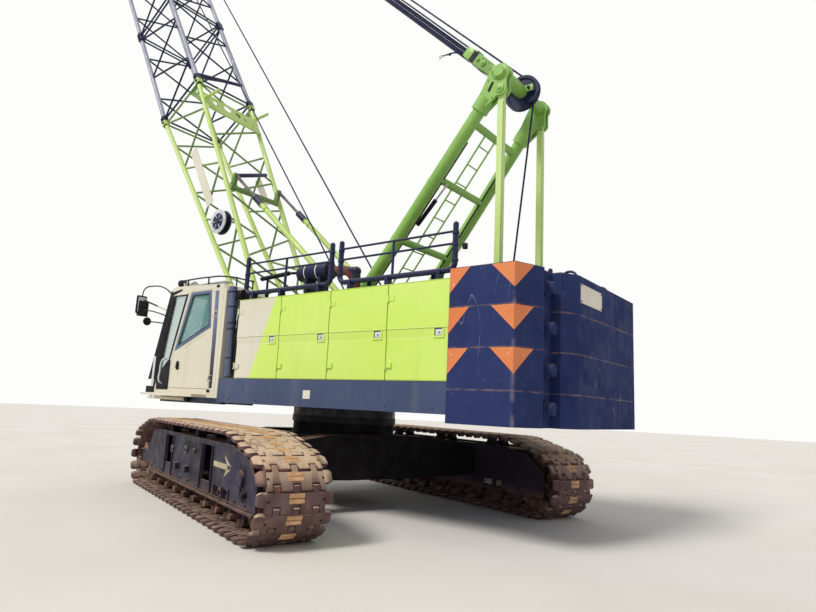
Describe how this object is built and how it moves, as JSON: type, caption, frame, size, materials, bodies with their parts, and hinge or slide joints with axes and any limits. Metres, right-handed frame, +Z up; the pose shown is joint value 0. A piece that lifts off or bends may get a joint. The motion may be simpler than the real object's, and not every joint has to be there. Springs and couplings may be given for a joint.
{
  "type": "lattice boom crawler crane",
  "caption": "Tracked crane with a slewing upperworks, side cab, stacked counterweight, fixed gantry and a raised lattice boom with its hook block.",
  "frame": {"origin": "on the ground under the slewing axis", "axes": "+X the way the boom points, +Y to the cab side, +Z up; the tracks are turned 17.5 degrees clockwise under the upperworks"},
  "size_m": [17.1352, 6.2708, 20.7307],
  "materials": {
    "lime_paint": "gloss, sun-faded and dusty",
    "green_paint": "satin, weathered",
    "beige_paint": "satin, dusty",
    "slate_paint": "satin, dusty",
    "navy_paint": "satin, dusty",
    "frame_paint": "matt, caked with dust",
    "weight_iron": "painted, with rust along its joints",
    "track_steel": "bare, dusty, with rust",
    "bare_steel": "dull, greased",
    "cab_glazing": "clear, dusty",
    "seat_cover": "worn cloth"
  },
  "bodies": {
    "undercarriage": {"car_body": "frame_paint", "slewing_ring": "bare_steel", "track_frames": "frame_paint", "track_left": "track_steel", "track_right": "track_steel", "sprockets": "track_steel", "idlers": "track_steel", "rollers": "frame_paint"},
    "upperworks": {"revolving_frame": "slate_paint", "cab_shell": "beige_paint", "cab_glass": "cab_glazing", "cab_seat": "seat_cover", "house_left": "lime_paint", "house_right": "lime_paint", "engine_block": "bare_steel", "handrails": "navy_paint", "exhaust_unit": "slate_paint", "counterweight_1": "weight_iron", "counterweight_2": "weight_iron", "counterweight_3": "weight_iron", "counterweight_4": "weight_iron", "gantry_legs": "green_paint", "gantry_links": "green_paint", "gantry_head": "green_paint", "winch_stands": "slate_paint"},
    "cab_door": {"cab_door": "beige_paint", "cab_door_glass": "cab_glazing"},
    "left_door_1": {"left_door_1": "beige_paint"},
    "left_door_2": {"left_door_2": "lime_paint"},
    "left_door_3": {"left_door_3": "lime_paint"},
    "left_door_4": {"left_door_4": "lime_paint"},
    "right_door_1": {"right_door_1": "beige_paint"},
    "right_door_2": {"right_door_2": "lime_paint"},
    "right_door_3": {"right_door_3": "lime_paint"},
    "gantry_sheave": {"gantry_sheave": "navy_paint"},
    "front_winch": {"front_winch": "navy_paint"},
    "rear_winch": {"rear_winch": "navy_paint"},
    "boom_winch": {"boom_winch": "navy_paint"},
    "boom": {"boom_base": "lime_paint", "boom_insert": "navy_paint", "boom_long_insert": "navy_paint", "boom_top": "lime_paint", "boom_fittings": "beige_paint"},
    "head_sheaves": {"head_sheaves": "navy_paint"},
    "hook": {"hook_block": "lime_paint", "hook_falls": "bare_steel"},
    "backstop_tubes": {"backstop_tubes": "green_paint"},
    "backstop_rods": {"backstop_rods": "bare_steel"},
    "lower_spreader": {"lower_spreader": "green_paint"},
    "upper_spreader": {"upper_spreader": "green_paint"}
  },
  "joints": [
    {"name": "slew", "type": "hinge", "parent": "undercarriage", "child": "upperworks", "pos_m": [0, 0, 1.22], "axis": [0, 0, 1], "continuous": true},
    {"name": "cab_door_hinge", "type": "hinge", "parent": "upperworks", "child": "cab_door", "pos_m": [1.473, 1.464, 2.18], "axis": [0, 0, 1], "range_deg": [0, 100]},
    {"name": "left_door_1_hinge", "type": "hinge", "parent": "upperworks", "child": "left_door_1", "pos_m": [0.874, 1.464, 2.265], "axis": [0, 0, -1], "range_deg": [0, 100]},
    {"name": "left_door_2_hinge", "type": "hinge", "parent": "upperworks", "child": "left_door_2", "pos_m": [-0.044, 1.464, 2.265], "axis": [0, 0, -1], "range_deg": [0, 100]},
    {"name": "left_door_3_hinge", "type": "hinge", "parent": "upperworks", "child": "left_door_3", "pos_m": [-0.989, 1.464, 2.265], "axis": [0, 0, -1], "range_deg": [0, 100]},
    {"name": "left_door_4_hinge", "type": "hinge", "parent": "upperworks", "child": "left_door_4", "pos_m": [-1.944, 1.464, 2.265], "axis": [0, 0, -1], "range_deg": [0, 100]},
    {"name": "right_door_1_hinge", "type": "hinge", "parent": "upperworks", "child": "right_door_1", "pos_m": [0.874, -1.464, 2.265], "axis": [0, 0, 1], "range_deg": [0, 100]},
    {"name": "right_door_2_hinge", "type": "hinge", "parent": "upperworks", "child": "right_door_2", "pos_m": [-0.356, -1.464, 2.265], "axis": [0, 0, 1], "range_deg": [0, 100]},
    {"name": "right_door_3_hinge", "type": "hinge", "parent": "upperworks", "child": "right_door_3", "pos_m": [-1.586, -1.464, 2.265], "axis": [0, 0, 1], "range_deg": [0, 100]},
    {"name": "front_winch_turn", "type": "hinge", "parent": "upperworks", "child": "front_winch", "pos_m": [-0.4, 0, 2.22], "axis": [0, 1, 0], "continuous": true},
    {"name": "rear_winch_turn", "type": "hinge", "parent": "upperworks", "child": "rear_winch", "pos_m": [-1.33, 0, 2.22], "axis": [0, 1, 0], "continuous": true},
    {"name": "boom_winch_turn", "type": "hinge", "parent": "upperworks", "child": "boom_winch", "pos_m": [-2.42, 0, 2.22], "axis": [0, 1, 0], "continuous": true},
    {"name": "gantry_sheave_turn", "type": "hinge", "parent": "upperworks", "child": "gantry_sheave", "pos_m": [-2.914, 0, 5.686], "axis": [0, 1, 0], "continuous": true},
    {"name": "boom_luff", "type": "hinge", "parent": "upperworks", "child": "boom", "pos_m": [1.016, 0, 1.793], "axis": [0, -1, 0], "range_deg": [-28.7, 21.3]},
    {"name": "head_sheaves_turn", "type": "hinge", "parent": "boom", "child": "head_sheaves", "pos_m": [12.97518, 0, 20.26899], "axis": [0, 1, 0], "continuous": true},
    {"name": "hook_swing", "type": "hinge", "parent": "boom", "child": "hook", "pos_m": [12.97518, 0, 20.26899], "axis": [0, -1, 0], "range_deg": [-21.5, 29]},
    {"name": "backstop_swing", "type": "hinge", "parent": "upperworks", "child": "backstop_tubes", "pos_m": [-1.3, 0, 2.07], "axis": [0, -1, 0], "range_deg": [-20, 15]},
    {"name": "backstop_slide", "type": "slide", "parent": "backstop_tubes", "child": "backstop_rods", "axis": [0.7559, 0, 0.6547], "range_m": [-0.62, 0.83]},
    {"name": "stay_swing", "type": "hinge", "parent": "upperworks", "child": "lower_spreader", "pos_m": [-2.699, 0, 5.911], "axis": [0, -1, 0], "range_deg": [-28.7, 21.3]},
    {"name": "stay_slide", "type": "slide", "parent": "lower_spreader", "child": "upper_spreader", "axis": [0.7091, 0, 0.7051], "range_m": [-2, 2.7]}
  ],
  "couplings": [
    {"joint": "hook_swing", "follows": "boom_luff", "ratio": -1},
    {"joint": "backstop_swing", "follows": "boom_luff", "ratio": 0.6887},
    {"joint": "backstop_slide", "follows": "boom_luff", "m_per_rad": -1.6427},
    {"joint": "stay_swing", "follows": "boom_luff", "ratio": 0.996},
    {"joint": "stay_slide", "follows": "boom_luff", "m_per_rad": -5.3724}
  ]
}
